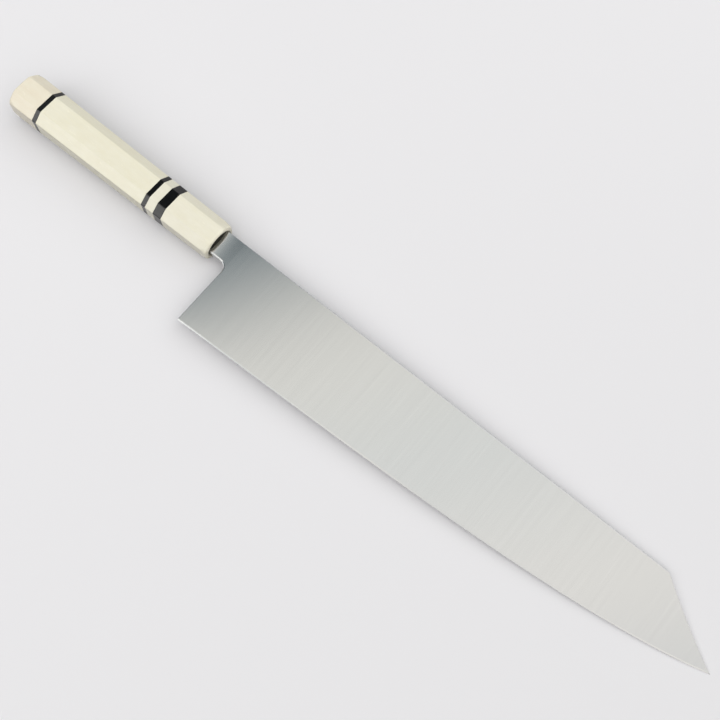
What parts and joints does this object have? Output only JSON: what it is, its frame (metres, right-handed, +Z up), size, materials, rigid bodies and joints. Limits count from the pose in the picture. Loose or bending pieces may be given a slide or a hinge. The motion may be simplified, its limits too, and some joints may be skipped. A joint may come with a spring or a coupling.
{
  "type": "gyuto knife",
  "caption": "Large kitchen knife with a straight spine, clipped point, gently curved edge and hidden tang, on a flared octagonal handle with contrasting rings.",
  "frame": {"origin": "on the surface the knife lies on, under the middle of its bounding box", "axes": "+X from the butt to the tip, +Y from the cutting edge to the spine, +Z up from the surface the knife lies on"},
  "size_m": [0.5, 0.0622, 0.0222],
  "materials": {
    "steel": "satin, with fine hairlines from spine to edge",
    "cream": "smooth and ivory-like, with a soft sheen",
    "black": "polished",
    "resin": "dull, dark",
    "wood": "raw"
  },
  "bodies": {
    "root": {"blade": "steel", "front_ferrule": "cream", "mouth_seal": "resin", "wide_ring": "black", "cream_spacer": "cream", "narrow_ring": "black", "grip": "cream", "rear_ring": "black", "butt_cap": "cream", "tang_dowel": "wood", "butt_dowel": "wood"}
  },
  "joints": []
}
